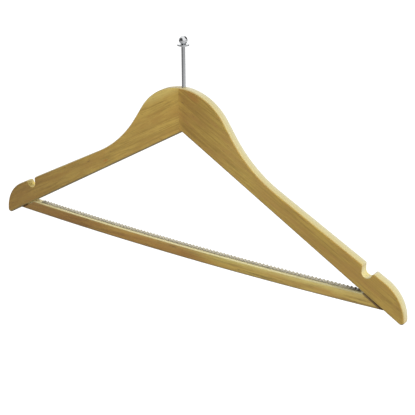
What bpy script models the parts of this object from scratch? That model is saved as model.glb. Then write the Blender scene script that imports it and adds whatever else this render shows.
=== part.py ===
# Anti-theft wooden hanger. Two arms of board meet in a comb joint at the neck, a mitred
# trouser bar with a ribbed grip strip closes the triangle, and a steel pin with a ball
# head stands in place of the hook. Metres, +Z up, front towards -Y.
# The origin is on the pin's axis at the underside of the collar, where a ring carries it.

import math

import bmesh
import bpy

# Arms
SPAN = 0.4456
BOARD_THICKNESS = 0.009
BOARD_EDGE_RADIUS = 0.002
NECK_HEIGHT = 0.0403
DOME_RADIUS = 0.0536
FLANK_ANGLE = math.radians(56.4)
SWEEP_RADIUS = 0.122
SHOULDER_ANGLE = math.radians(27.7)
SHOULDER_RISE = 0.0147
UNDERSIDE_ANGLE = math.radians(30.1)
TIP_RADIUS = 0.036
TOE_RADIUS = 0.003

# Strap notches
NOTCH_INSET = 0.0358
NOTCH_WIDTH = 0.0092
NOTCH_DEPTH = 0.0091
NOTCH_INNER_RIM_RADIUS = 0.0020
NOTCH_OUTER_RIM_RADIUS = 0.0030
NOTCH_RIM_LIFT = 0.00003

# Comb joint at the neck
FINGER_LENGTH = 0.0052
CHEEK_THICKNESS = 0.0018
GLUE_GAP = 0.0002

# Trouser bar
BAR_INSET = 0.0198
BAR_HEIGHT = 0.0112
BAR_DEPTH = 0.009
BAR_BOW = 0.005
BAR_EDGE_RADIUS = 0.0014

# Grip strip
GRIP_WIDTH = 0.0034
GRIP_STEM_WIDTH = 0.0016
GRIP_STEM_DEPTH = 0.0028
GRIP_BASE_HEIGHT = 0.0006
GRIP_RIB_HEIGHT = 0.0009
GRIP_RIB_PITCH = 0.0038
GRIP_RIB_FOOT = 0.0024
GRIP_RIB_CREST = 0.0010
GRIP_INSET_LEFT = 0.008
GRIP_INSET_RIGHT = 0.004

# Bar screws
SCREW_INSET = 0.012
SCREW_LENGTH = 0.018
SCREW_DIAMETER = 0.003
SCREW_HEAD_DIAMETER = 0.0060
SCREW_POINT = 0.003
SCREW_SINK = 0.0004

# Pin
PIN_EXPOSED = 0.0373
PIN_DIAMETER = 0.0035
BALL_DIAMETER = 0.0078
BALL_SEAT_DIAMETER = 0.0042
COLLAR_DIAMETER = 0.0108
COLLAR_THICKNESS = 0.0013
COLLAR_EDGE = 0.0003
RECESS_DIAMETER = 0.0066
RECESS_HEIGHT = 0.0065
WASHER_DIAMETER = 0.0060
WASHER_THICKNESS = 0.0008
RIVET_DIAMETER = 0.0048
RIVET_HEIGHT = 0.0014
HEAD_SEAT_GAP = 0.0002

# Clearances
FIT_GAP = 0.0003
BORE_GAP = 0.00009

# Fineness of the round shapes
ARC_STEP = math.radians(5.5)
BEVEL_SEGMENTS = 3
TURNED_STEPS = 32
SCREW_STEPS = 20
BALL_RINGS = 14
BAR_STATIONS = 16

# Places worked out from the sizes
APEX_Z = -(PIN_EXPOSED + NECK_HEIGHT)
CUT_MARGIN = 0.004


def clear_scene():
    for obj in list(bpy.data.objects):
        bpy.data.objects.remove(obj, do_unlink=True)


def new_collection(name):
    collection = bpy.data.collections.new(name)
    bpy.context.scene.collection.children.link(collection)
    return collection


def surface(name, colour, roughness, metallic=0.0, alpha=1.0):
    material = bpy.data.materials.new(name)
    material.use_nodes = True
    shader = material.node_tree.nodes["Principled BSDF"]
    shader.inputs["Base Color"].default_value = (*colour, 1.0)
    shader.inputs["Roughness"].default_value = roughness
    shader.inputs["Metallic"].default_value = metallic
    shader.inputs["Alpha"].default_value = alpha
    return material


def place(obj, collection, location=(0.0, 0.0, 0.0)):
    for owner in list(obj.users_collection):
        owner.objects.unlink(obj)
    collection.objects.link(obj)
    obj.location = location
    return obj


# Outlines in the hanger's plane

def corner_points(before, corner, after, radius):
    """Points of the arc that rounds one corner, in the order of travel."""
    if radius <= 0.0:
        return [corner]
    ax, az = before[0] - corner[0], before[1] - corner[1]
    bx, bz = after[0] - corner[0], after[1] - corner[1]
    la, lb = math.hypot(ax, az), math.hypot(bx, bz)
    ax, az, bx, bz = ax / la, az / la, bx / lb, bz / lb
    inside = math.acos(max(-1.0, min(1.0, ax * bx + az * bz)))
    reach = radius / math.tan(inside / 2)
    middle_x, middle_z = ax + bx, az + bz
    length = math.hypot(middle_x, middle_z)
    centre_distance = radius / math.sin(inside / 2)
    cx = corner[0] + middle_x / length * centre_distance
    cz = corner[1] + middle_z / length * centre_distance
    start = math.atan2(corner[1] + az * reach - cz, corner[0] + ax * reach - cx)
    end = math.atan2(corner[1] + bz * reach - cz, corner[0] + bx * reach - cx)
    turn = (end - start + math.pi) % (2 * math.pi) - math.pi
    steps = max(2, math.ceil(abs(turn) / ARC_STEP))
    angles = [start + turn * i / steps for i in range(steps + 1)]
    return [(cx + radius * math.cos(a), cz + radius * math.sin(a)) for a in angles]


def line_crossing(height_a, slope_a, height_b, slope_b):
    """Where two lines z = height - slope * x cross."""
    x = (height_a - height_b) / (slope_a - slope_b)
    return x, height_a - slope_a * x


def shoulder_height(x):
    """Height of the straight shoulder line above the inner apex."""
    return SHOULDER_RISE - math.tan(SHOULDER_ANGLE) * abs(x)


def notch_x():
    return SPAN / 2 - NOTCH_INSET


def arc_points(centre, radius, start, end):
    """Points of an arc about a centre between two angles."""
    steps = max(2, math.ceil(abs(end - start) / ARC_STEP))
    angles = [start + (end - start) * i / steps for i in range(steps + 1)]
    return [(centre[0] + radius * math.cos(a), centre[1] + radius * math.sin(a)) for a in angles]


def tip_outline():
    """Right arm's end: the tip's arc off the shoulder line, then the toe's off the underside."""
    tip_x = SPAN / 2 - TIP_RADIUS
    tip_z = shoulder_height(tip_x) - TIP_RADIUS / math.cos(SHOULDER_ANGLE)
    slope = math.tan(UNDERSIDE_ANGLE)
    rise = TOE_RADIUS / math.cos(UNDERSIDE_ANGLE)
    apart = TIP_RADIUS - TOE_RADIUS
    square = 1 + slope ** 2
    half = tip_x + slope * (rise - tip_z)
    rest = tip_x ** 2 + (rise - tip_z) ** 2 - apart ** 2
    toe_x = (half + math.sqrt(half ** 2 - square * rest)) / square
    toe_z = rise - slope * toe_x
    meeting = math.atan2(toe_z - tip_z, toe_x - tip_x)
    points = arc_points((tip_x, tip_z), TIP_RADIUS, math.pi / 2 - SHOULDER_ANGLE, meeting)
    toe = arc_points((toe_x, toe_z), TOE_RADIUS, meeting, -math.pi / 2 - UNDERSIDE_ANGLE)
    return points + toe[1:]


def frame_outline():
    """Whole wooden body, clockwise from the dome's left side, with the inner apex at (0, 0)."""
    dome_vertex = NECK_HEIGHT - DOME_RADIUS + DOME_RADIUS / math.cos(FLANK_ANGLE)
    flank_slope = math.tan(FLANK_ANGLE)
    sweep = line_crossing(dome_vertex, flank_slope, SHOULDER_RISE, math.tan(SHOULDER_ANGLE))
    before = (-sweep[0], sweep[1])
    dome = corner_points(before, (0.0, dome_vertex), sweep, DOME_RADIUS)
    tip = tip_outline()
    bend = corner_points((0.0, dome_vertex), sweep, tip[0], SWEEP_RADIUS)
    right = bend + tip
    left = [(-x, z) for x, z in reversed(right)]
    return dome + right + [(0.0, 0.0)] + left


def rim_height(x):
    """Line that the rims' arcs end on, just clear of the wood they cut."""
    return shoulder_height(x) + NOTCH_RIM_LIFT


def notch_outline(side):
    """Slot with a round bottom and rounded rims, the lower one running into the bottom."""
    half = NOTCH_WIDTH / 2
    centre = (notch_x(), shoulder_height(notch_x()) - NOTCH_DEPTH + half)
    wall, beyond = centre[0] - half, centre[0] - half - NOTCH_WIDTH
    inner_rim = corner_points((wall, centre[1]), (wall, rim_height(wall)),
                              (beyond, rim_height(beyond)), NOTCH_INNER_RIM_RADIUS)
    outer_rim, meeting = outer_rim_points(centre, half)
    bottom = arc_points(centre, half, math.pi, 2 * math.pi + meeting)
    top = shoulder_height(beyond) + CUT_MARGIN
    mouth = [(outer_rim[-1][0], top), (inner_rim[-1][0], top)]
    points = bottom + outer_rim[1:] + mouth + inner_rim[::-1]
    return [(side * x, z) for x, z in points]


def outer_rim_points(centre, half):
    """Rim's arc from the notch's round bottom to the shoulder, and the angle where they meet."""
    radius = NOTCH_OUTER_RIM_RADIUS
    slope = math.tan(SHOULDER_ANGLE)
    level = rim_height(centre[0]) - radius / math.cos(SHOULDER_ANGLE) - centre[1]
    square = 1 + slope ** 2
    rest = level ** 2 - (half + radius) ** 2
    run = (slope * level + math.sqrt((slope * level) ** 2 - square * rest)) / square
    drop = level - slope * run
    meeting = math.atan2(drop, run)
    rim_centre = (centre[0] + run, centre[1] + drop)
    return arc_points(rim_centre, radius, math.pi + meeting, math.pi / 2 - SHOULDER_ANGLE), meeting


def comb_outline(side):
    """Stepped cutter, seen from above, that leaves only the arm on one side.

    From front to back the fingers belong to the right and the left arm in turn."""
    half = BOARD_THICKNESS / 2
    core_edge = half - CHEEK_THICKNESS
    steps_y = [-core_edge, 0.0, core_edge]
    owners = [1, -1, 1, -1]
    reaches = [FINGER_LENGTH / 2 if owner == side else -FINGER_LENGTH / 2 for owner in owners]
    reaches = [reach - GLUE_GAP / 2 for reach in reaches]
    far = SPAN
    points = [(far, -half - CUT_MARGIN), (reaches[0], -half - CUT_MARGIN)]
    for i, y in enumerate(steps_y):
        wider = GLUE_GAP / 2 if reaches[i] < reaches[i + 1] else -GLUE_GAP / 2
        points += [(reaches[i], y + wider), (reaches[i + 1], y + wider)]
    points += [(reaches[-1], half + CUT_MARGIN), (far, half + CUT_MARGIN)]
    return [(-side * u, y) for u, y in points]


# The trouser bar follows a shallow bow

def bow(x):
    """Rise of the bar towards its ends."""
    return BAR_BOW * (x / (SPAN / 2)) ** 2


def foot_end_x():
    """Half length of the bar along its underside."""
    return SPAN / 2 - BAR_INSET


def bar_top(x):
    """Height of the bar's top face, with its underside's ends just clear of the arms."""
    gap = FIT_GAP / math.cos(UNDERSIDE_ANGLE)
    foot_end = -math.tan(UNDERSIDE_ANGLE) * foot_end_x() - gap
    return foot_end + BAR_HEIGHT + bow(x) - bow(foot_end_x())


def top_end_x():
    """Half length of the bar along its top face, up to the undersides of the arms."""
    curve = BAR_BOW / (SPAN / 2) ** 2
    slope = math.tan(UNDERSIDE_ANGLE)
    level = bar_top(0.0) + FIT_GAP / math.cos(UNDERSIDE_ANGLE)
    return -2 * level / (slope + math.sqrt(slope ** 2 - 4 * curve * level))


def between(start, end, count):
    return [start + (end - start) * i / count for i in range(count + 1)]


def bar_outline():
    """Bowed bar with ends mitred along the undersides of the arms."""
    top_end = top_end_x()
    foot_end = foot_end_x()
    top = [(x, bar_top(x)) for x in between(-top_end, top_end, BAR_STATIONS)]
    foot = [(x, bar_top(x) - BAR_HEIGHT) for x in between(foot_end, -foot_end, BAR_STATIONS)]
    return top + foot


def band_outline(start, end, low, high):
    """Strip of the bar's bowed length between two heights above its top face."""
    upper = [(x, bar_top(x) + high) for x in between(start, end, BAR_STATIONS)]
    lower = [(x, bar_top(x) + low) for x in between(end, start, BAR_STATIONS)]
    return upper + lower


def grip_ends():
    return -top_end_x() + GRIP_INSET_LEFT, top_end_x() - GRIP_INSET_RIGHT


def grip_head_outline():
    """Base of the strip with one trapezoid rib after another along its top."""
    start, end = grip_ends()
    count = int((end - start - GRIP_RIB_FOOT) / GRIP_RIB_PITCH)
    first = (start + end - count * GRIP_RIB_PITCH) / 2
    low = FIT_GAP
    base = low + GRIP_BASE_HEIGHT
    crest = base + GRIP_RIB_HEIGHT
    rib = [(-GRIP_RIB_FOOT / 2, base), (-GRIP_RIB_CREST / 2, crest),
           (GRIP_RIB_CREST / 2, crest), (GRIP_RIB_FOOT / 2, base)]
    top = []
    for i in range(count + 1):
        middle = first + i * GRIP_RIB_PITCH
        top += [(middle + dx, bar_top(middle + dx) + height) for dx, height in rib]
    under = [(x, bar_top(x) + low) for x in between(end, start, BAR_STATIONS)]
    start_top = (start, bar_top(start) + base)
    end_top = (end, bar_top(end) + base)
    return [start_top] + top + [end_top] + under


# Solids

def join_caps(bm):
    """Make each flat cap of an extruded outline one face."""
    for way in (1, -1):
        cap = [face for face in bm.faces if face.normal.z * way > 0.9]
        bmesh.ops.dissolve_faces(bm, faces=cap, use_verts=False)


def mark_rims(bm):
    """Give the edges round the two caps the bevel's weight."""
    weight = bm.edges.layers.float.new("bevel_weight_edge")
    for edge in bm.edges:
        first, second = edge.verts
        edge[weight] = 1.0 if abs(first.co.z - second.co.z) < abs(first.co.z) else 0.0


def outline_mesh(name, points, depth, upright=True):
    """Flat outline as a filled curve, extruded and made a closed mesh."""
    curve = bpy.data.curves.new(name, "CURVE")
    curve.dimensions = "2D"
    curve.fill_mode = "BOTH"
    curve.extrude = depth / 2
    spline = curve.splines.new("POLY")
    spline.points.add(len(points) - 1)
    for point, (u, v) in zip(spline.points, points):
        point.co = (u, v, 0.0, 1.0)
    spline.use_cyclic_u = True
    guide = bpy.data.objects.new(name + "_outline", curve)
    bpy.context.scene.collection.objects.link(guide)
    if upright:
        guide.rotation_euler = (math.pi / 2, 0.0, 0.0)
    bpy.context.view_layer.update()
    evaluated = guide.evaluated_get(bpy.context.evaluated_depsgraph_get())
    mesh = bpy.data.meshes.new_from_object(evaluated)
    mesh.name = name
    bm = bmesh.new()
    bm.from_mesh(mesh)
    bmesh.ops.remove_doubles(bm, verts=bm.verts, dist=0.000001)
    bmesh.ops.recalc_face_normals(bm, faces=bm.faces)
    if bm.calc_volume(signed=True) < 0.0:
        bmesh.ops.reverse_faces(bm, faces=bm.faces)
    join_caps(bm)
    mark_rims(bm)
    bm.to_mesh(mesh)
    bm.free()
    mesh.transform(guide.matrix_world)
    bpy.data.objects.remove(guide, do_unlink=True)
    bpy.data.curves.remove(curve)
    return mesh


def outline_object(name, points, depth, collection, location, upright=True):
    mesh = outline_mesh(name, points, depth, upright)
    return place(bpy.data.objects.new(name, mesh), collection, location)


def turned_object(name, profile, collection, location, steps=TURNED_STEPS, closed=False):
    """Profile of (radius, z) run down its outer side and turned about Z."""
    mesh = bpy.data.meshes.new(name)
    links = [(i, i + 1) for i in range(len(profile) - 1)]
    if closed:
        links.append((len(profile) - 1, 0))
    mesh.from_pydata([(r, 0.0, z) for r, z in profile], links, [])
    obj = place(bpy.data.objects.new(name, mesh), collection, location)
    turn = obj.modifiers.new("Turn", "SCREW")
    turn.axis = "Z"
    turn.angle = 2 * math.pi
    turn.steps = steps
    turn.render_steps = steps
    turn.use_merge_vertices = True
    turn.merge_threshold = 0.00001
    turn.use_smooth_shade = True
    return obj


def cylinder_cutter(name, radius, bottom, top, collection, x=0.0, steps=TURNED_STEPS):
    bpy.ops.mesh.primitive_cylinder_add(vertices=steps, radius=radius, depth=top - bottom)
    obj = bpy.context.active_object
    obj.name = name
    return place(obj, collection, (x, 0.0, (top + bottom) / 2))


def hide_cutter(obj):
    obj.hide_render = True
    obj.display_type = "WIRE"
    return obj


def round_edges(obj, width):
    bevel = obj.modifiers.new("Round edges", "BEVEL")
    bevel.width = width
    bevel.segments = BEVEL_SEGMENTS
    bevel.limit_method = "WEIGHT"
    bevel.use_clamp_overlap = False


def boolean(obj, other, operation="DIFFERENCE"):
    step = obj.modifiers.new(operation.title() + " " + other.name, "BOOLEAN")
    step.operation = operation
    step.object = other
    step.solver = "EXACT"


def shade_round(obj, angle=35.0):
    obj.data.shade_smooth()
    obj.data.set_sharp_from_angle(angle=math.radians(angle))


# Cutters

def make_notch_cutter(side, cutters):
    name = "notch_cutter_left" if side < 0 else "notch_cutter_right"
    depth = BOARD_THICKNESS + 2 * CUT_MARGIN
    return hide_cutter(outline_object(name, notch_outline(side), depth, cutters, (0, 0, APEX_Z)))


def make_comb_cutter(side, cutters):
    name = "comb_cutter_left" if side < 0 else "comb_cutter_right"
    drop = math.tan(UNDERSIDE_ANGLE) * SPAN / 2
    height = NECK_HEIGHT + drop + 2 * CUT_MARGIN
    middle = APEX_Z + (NECK_HEIGHT - drop) / 2
    points = comb_outline(side)
    return hide_cutter(outline_object(name, points, height, cutters, (0, 0, middle), upright=False))


def make_pin_bore(cutters):
    radius = PIN_DIAMETER / 2 + BORE_GAP
    top = APEX_Z + NECK_HEIGHT + CUT_MARGIN
    bore = cylinder_cutter("pin_bore", radius, APEX_Z - CUT_MARGIN, top, cutters)
    return hide_cutter(bore)


def make_washer_recess(cutters):
    top = APEX_Z + RECESS_HEIGHT
    bottom = APEX_Z - CUT_MARGIN
    return hide_cutter(cylinder_cutter("washer_recess", RECESS_DIAMETER / 2, bottom, top, cutters))


def screw_x():
    return foot_end_x() - SCREW_INSET


def screw_foot_z():
    """Level of the screw's flat head, just inside the bar's underside."""
    return APEX_Z + bar_top(screw_x()) - BAR_HEIGHT + SCREW_SINK


def screw_profile(gap):
    """Head down, point up, as a profile from the point to the head's flat."""
    shank = SCREW_DIAMETER / 2 + gap
    head = SCREW_HEAD_DIAMETER / 2 + gap
    cone = head - shank
    return [
        (0.0, SCREW_LENGTH + gap),
        (shank * 0.35, SCREW_LENGTH + gap),
        (shank, SCREW_LENGTH - SCREW_POINT + gap),
        (shank, cone),
        (head, 0.0),
    ]


def make_screw_hole(side, cutters):
    name = "screw_hole_left" if side < 0 else "screw_hole_right"
    head = SCREW_HEAD_DIAMETER / 2 + FIT_GAP
    profile = screw_profile(FIT_GAP) + [(head, -CUT_MARGIN), (0.0, -CUT_MARGIN)]
    location = (side * screw_x(), 0.0, screw_foot_z())
    return hide_cutter(turned_object(name, profile, cutters, location, SCREW_STEPS))


def make_groove_cutter(cutters):
    start, end = grip_ends()
    depth = -GRIP_STEM_DEPTH - FIT_GAP
    points = band_outline(start - FIT_GAP, end + FIT_GAP, depth, CUT_MARGIN)
    width = GRIP_STEM_WIDTH + 2 * FIT_GAP
    return hide_cutter(outline_object("groove_cutter", points, width, cutters, (0, 0, APEX_Z)))


# Pieces

def make_arm(side, collection, wood, cutters):
    name = "left_arm" if side < 0 else "right_arm"
    arm = outline_object(name, frame_outline(), BOARD_THICKNESS, collection, (0, 0, APEX_Z))
    round_edges(arm, BOARD_EDGE_RADIUS)
    boolean(arm, cutters["comb"][side])
    boolean(arm, cutters["notch"][side])
    boolean(arm, cutters["bore"])
    boolean(arm, cutters["recess"])
    boolean(arm, cutters["screw"][side])
    arm.data.materials.append(wood)
    shade_round(arm)
    return arm


def make_bar(collection, wood, cutters):
    bar = outline_object("trouser_bar", bar_outline(), BAR_DEPTH, collection, (0, 0, APEX_Z))
    round_edges(bar, BAR_EDGE_RADIUS)
    boolean(bar, cutters["groove"])
    boolean(bar, cutters["screw"][-1])
    boolean(bar, cutters["screw"][1])
    bar.data.materials.append(wood)
    shade_round(bar)
    return bar


def make_grip(collection, vinyl, cutter_collection):
    location = (0, 0, APEX_Z)
    grip = outline_object("grip_strip", grip_head_outline(), GRIP_WIDTH, collection, location)
    start, end = grip_ends()
    stem_top = FIT_GAP + GRIP_BASE_HEIGHT / 2
    points = band_outline(start, end, -GRIP_STEM_DEPTH, stem_top)
    stem = outline_object("grip_stem", points, GRIP_STEM_WIDTH, cutter_collection, location)
    boolean(grip, hide_cutter(stem), "UNION")
    grip.data.materials.append(vinyl)
    return grip


def make_screw(side, collection, steel):
    name = "left_bar_screw" if side < 0 else "right_bar_screw"
    profile = screw_profile(0.0) + [(0.0, 0.0)]
    location = (side * screw_x(), 0.0, screw_foot_z())
    screw = turned_object(name, profile, collection, location, SCREW_STEPS)
    screw.data.materials.append(steel)
    return screw


def make_pin(collection, chrome):
    """Ball head, shank and riveted foot, turned in one piece."""
    ball = BALL_DIAMETER / 2
    seat = BALL_SEAT_DIAMETER / 2
    shank = PIN_DIAMETER / 2
    seat_z = COLLAR_THICKNESS + HEAD_SEAT_GAP
    centre = seat_z + math.sqrt(ball ** 2 - seat ** 2)
    last = math.pi - math.asin(seat / ball)
    angles = [last * i / BALL_RINGS for i in range(BALL_RINGS + 1)]
    profile = [(ball * math.sin(a), centre + ball * math.cos(a)) for a in angles]
    profile[0] = (0.0, centre + ball)
    rivet_top = APEX_Z + RECESS_HEIGHT - 2 * FIT_GAP - WASHER_THICKNESS
    rivet = RIVET_DIAMETER / 2
    profile += [
        (shank, seat_z),
        (shank, rivet_top),
        (rivet, rivet_top),
        (rivet, rivet_top - RIVET_HEIGHT * 0.4),
        (rivet * 0.6, rivet_top - RIVET_HEIGHT),
        (0.0, rivet_top - RIVET_HEIGHT),
    ]
    pin = turned_object("security_pin", profile, collection, (0, 0, 0))
    pin.data.materials.append(chrome)
    return pin


def make_collar(collection, chrome):
    inner = PIN_DIAMETER / 2 + BORE_GAP
    outer = COLLAR_DIAMETER / 2
    profile = [
        (inner, COLLAR_THICKNESS),
        (outer - COLLAR_EDGE, COLLAR_THICKNESS),
        (outer, COLLAR_THICKNESS - COLLAR_EDGE),
        (outer, COLLAR_EDGE),
        (outer - COLLAR_EDGE, 0.0),
        (inner, 0.0),
    ]
    collar = turned_object("pin_collar", profile, collection, (0, 0, 0), closed=True)
    collar.data.materials.append(chrome)
    return collar


def make_washer(collection, steel):
    inner = PIN_DIAMETER / 2 + BORE_GAP
    outer = WASHER_DIAMETER / 2
    top = -FIT_GAP
    bottom = top - WASHER_THICKNESS
    profile = [(inner, top), (outer, top), (outer, bottom), (inner, bottom)]
    location = (0, 0, APEX_Z + RECESS_HEIGHT)
    washer = turned_object("retaining_washer", profile, collection, location, closed=True)
    washer.data.materials.append(steel)
    return washer


def main():
    clear_scene()
    hanger = new_collection("anti_theft_hanger")
    cutter_collection = new_collection("cutters")
    left_wood = surface("left_arm_wood", (0.40, 0.26, 0.075), 0.42)
    right_wood = surface("right_arm_wood", (0.33, 0.20, 0.055), 0.42)
    bar_wood = surface("bar_wood", (0.38, 0.24, 0.08), 0.42)
    vinyl = surface("grip_vinyl", (0.42, 0.43, 0.36), 0.3, alpha=0.75)
    chrome = surface("chrome", (0.75, 0.76, 0.77), 0.08, metallic=1.0)
    steel = surface("zinc_steel", (0.55, 0.55, 0.53), 0.35, metallic=1.0)
    sides = (-1, 1)
    cutters = {
        "comb": {side: make_comb_cutter(side, cutter_collection) for side in sides},
        "notch": {side: make_notch_cutter(side, cutter_collection) for side in sides},
        "screw": {side: make_screw_hole(side, cutter_collection) for side in sides},
        "bore": make_pin_bore(cutter_collection),
        "recess": make_washer_recess(cutter_collection),
        "groove": make_groove_cutter(cutter_collection),
    }
    make_arm(-1, hanger, left_wood, cutters)
    make_arm(1, hanger, right_wood, cutters)
    make_bar(hanger, bar_wood, cutters)
    make_grip(hanger, vinyl, cutter_collection)
    for side in sides:
        make_screw(side, hanger, steel)
    make_pin(hanger, chrome)
    make_collar(hanger, chrome)
    make_washer(hanger, steel)


main()
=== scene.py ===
import math

import bmesh
import bpy
from mathutils import Matrix, Vector


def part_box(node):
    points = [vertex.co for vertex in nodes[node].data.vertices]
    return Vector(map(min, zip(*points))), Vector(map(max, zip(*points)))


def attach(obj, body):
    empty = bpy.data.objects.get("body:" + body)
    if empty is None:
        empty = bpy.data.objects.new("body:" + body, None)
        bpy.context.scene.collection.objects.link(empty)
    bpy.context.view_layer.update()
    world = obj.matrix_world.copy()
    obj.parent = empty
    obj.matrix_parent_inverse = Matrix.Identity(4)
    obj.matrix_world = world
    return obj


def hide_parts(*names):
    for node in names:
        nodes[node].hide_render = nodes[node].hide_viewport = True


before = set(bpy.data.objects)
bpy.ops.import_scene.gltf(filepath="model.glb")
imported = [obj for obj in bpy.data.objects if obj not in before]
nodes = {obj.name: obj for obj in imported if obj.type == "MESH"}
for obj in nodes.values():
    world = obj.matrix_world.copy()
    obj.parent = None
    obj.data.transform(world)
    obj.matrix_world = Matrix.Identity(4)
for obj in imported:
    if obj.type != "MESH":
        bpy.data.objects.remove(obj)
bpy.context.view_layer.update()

# Arms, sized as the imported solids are
APEX_Z = -0.0776
HALF_SPAN = 0.2228
BOARD = 0.009
BOARD_EDGE = 0.002
NECK_HEIGHT = 0.0403
DOME_RADIUS = 0.0536
FLANK = math.radians(56.4)
SWEEP_RADIUS = 0.122
SHOULDER = math.radians(27.70)
SHOULDER_RISE = 0.0147
UNDERSIDE = math.radians(30.10)
TIP_RADIUS = 0.036
TOE_RADIUS = 0.003

# Strap notches, with walls that flare out at both faces of the board
NOTCH_X = HALF_SPAN - 0.0358
NOTCH_WIDTH = 0.0092
NOTCH_DEPTH = 0.0091
NOTCH_INNER_RIM = 0.0020
NOTCH_OUTER_RIM = 0.0030
NOTCH_FLARE = 0.0006
RIM_LIFT = 0.00003

# Comb joint at the neck
FINGER = 0.0026
CHEEK = 0.0018
GLUE_GAP = 0.00004

# Trouser bar, whose top is a parabola
BAR_FOOT = HALF_SPAN - 0.0198
BAR_HEIGHT = 0.0112
BAR_BOW = 0.0050
BAR_CURVE = BAR_BOW / HALF_SPAN ** 2
BAR_EDGE = 0.0014
FIT_GAP = 0.0003

# Grip strip and its groove
GRIP_WIDTH = 0.0034
GRIP_BASE = 0.0006
GRIP_RIB = 0.0009
GRIP_PITCH = 0.0038
GRIP_FOOT = 0.0024
GRIP_CREST = 0.0010
RIB_ROUND = 0.00022
STEM_WIDTH = 0.0016
STEM_DEPTH = 0.0028
STEM_INSET = 0.00002
GROOVE_WIDTH = 0.0022
GROOVE_DEPTH = 0.0031

# Bar screws and their holes
SCREW_LENGTH = 0.018
SCREW_RADIUS = 0.0015
SCREW_POINT = 0.003
SCREW_POINT_RADIUS = 0.0005
SCREW_HEAD_RADIUS = 0.0029
SCREW_HEAD_RIM = 0.00015
SCREW_CONE = 0.0016
HOLE_RADIUS = 0.0018
HOLE_POINT_RADIUS = 0.0006
SINK_RADIUS = 0.0033
SINK_DEPTH = 0.0015
CROSS_REACH = 0.0015
CROSS_FOOT = 0.0006
CROSS_DEPTH = 0.0011
CROSS_WIDTH = 0.00055
CROSS_TURN = math.radians(20)

# Pin, collar, and the recess that holds the washer and the rivet
PIN_RADIUS = 0.00175
BORE_RADIUS = 0.00184
BORE_REACH = 0.05
BALL_SEAT_Z = 0.0015
BALL_SEAT_RADIUS = 0.0021
COLLAR_EDGE = 0.0003
RECESS_RADIUS = 0.0033
RECESS_HEIGHT = 0.0065
WASHER_THICKNESS = 0.0008

# Riveted foot, as radius and depth below the washer
RIVET = [(0.0023, 0.0), (0.0024, 0.0001), (0.0024, 0.0005), (0.0021, 0.0010), (0.0014, 0.0014),
         (0.0, 0.0014)]

# How far cutters reach past what they cut
MARGIN = 0.004
RECESS_MARGIN = 0.01
HOLE_MARGIN = 0.001
SINK_MARGIN = 0.003

# Fineness of the round shapes, and the angles from which an edge stays sharp
ARC_STEP = math.radians(1.5)
BAR_STATIONS = 48
FLARE_STEPS = 6
BEVEL_SEGMENTS = 6
TURNED_STEPS = 64
BALL_RINGS = 40
EDGE_STEPS = 4
WOOD_SHARP = math.radians(28)
METAL_SHARP = math.radians(35)
GRIP_SHARP = math.radians(40)

# Each noise of the wood: its stretch along X, Y and Z once turned to the grain, then its
# detail, roughness and distortion
GRAIN = {
    "growth": ((7, 60, 170), 3.0, 0.6, 0.9),
    "streak": ((34, 300, 640), 4.0, 0.70, 0.3),
    "fibre": ((90, 1600, 2400), 2.0, 0.6, 0.0),
    "drift": ((20, 50, 110), 3.0, 0.55, 0.0),
    "patch": ((70, 120, 300), 2.0, 0.55, 0.5),
    "pores": ((260, 3600, 4600), 1.0, 0.4, 0.0),
    "flecks": ((95, 420, 520), 1.0, 0.4, 0.0),
}
GRAIN_TURN = SHOULDER + math.radians(1)
SEED_STEP = (1.7, 0.9, 2.3)

# Noise levels at which the growth is dark and light, and at which each layer over it starts
# and is full, with its weight there
GROWTH_LEVELS = (0.34, 0.48)
STREAK_LAYER = (0.46, 0.64, 0.90)
DRIFT_LAYER = (0.44, 0.62, 0.70)
PATCH_LAYER = (0.54, 0.66, 0.75)
FIBRE_LAYER = (0.40, 0.66, 0.25)
FLECK_LAYER = (0.72, 0.80, 0.65)
PORE_LAYER = (0.66, 0.78, 0.5)

# Lacquer: its roughness over the fibres' range of noise, and the bump of the pores against
# that of the fibres
FIBRE_RANGE = (0.3, 0.7)
LACQUER_ROUGHNESS = (0.36, 0.50)
PORE_BUMP = -0.6

# Masks by the surface's normal, each fading in from its first number to its second. Its Y
# without sign is 1 on the flat faces, and its Z tells edges that face up, where a highlight
# is painted, from those that face down, where shade is painted.
ARM_HIGHLIGHT_EDGE = (0.86, 0.51)
BAR_HIGHLIGHT_EDGE = (0.995, 0.645)
FACES_UP = (-0.35, 0.25)
SHADED_EDGE = (0.995, 0.90)
FACES_DOWN = (-0.06, -0.42)
# Walls of the notches, where light is painted
NOTCH_WALL = (0.9, 0.5)

# Masks by place, in metres: the highlight painted on the rear by the board's own depth, the
# light painted in the notch by the distance along X from its middle and by the height over
# the shoulder line, and the highlight painted on the bar's upper part by the depth under its
# top and along X, where its weight grows
REAR_HALF = (-BOARD / 4, BOARD / 2)
NOTCH_NEAR = (0.0085, 0.0070)
NOTCH_DEEP = (-0.0022, -0.0055)
BAR_HIGHLIGHT_DEPTH = (0.0052, 0.0012)
BAR_HIGHLIGHT_ALONG = (-0.06, 0.08, 0.22, 0.62)
BAR_HIGHLIGHT_GROWTH = (0.36, 0.58, 0.55, 1.0)

# Layers by place, each with its weight: the highlight painted on the left dome by the height
# over a shoulder line through the apex, the shade painted on the bar's foot by the depth
# under its top, and the shadow painted in the joints by the height over the arms' undersides
DOME_HIGHLIGHT_LAYER = (0.032, 0.038, 0.8)
BAR_FOOT_SHADE_LAYER = (0.0084, 0.0106, 0.55)
JOINT_SHADOW_LAYER = (-0.0015, -0.0007, 0.97)

# Weights of the edges' colours, highlights painted on the upper edges and shade painted on
# the lower ones, and the distances from a stain's middle, as shares of its reach, between
# which it fades out
EDGE_HIGHLIGHT_WEIGHT = 0.88
ARM_EDGE_SHADE_WEIGHT = 0.8
BAR_EDGE_SHADE_WEIGHT = 0.95
STAIN_FADE = (0.35, 1.0)
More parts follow.
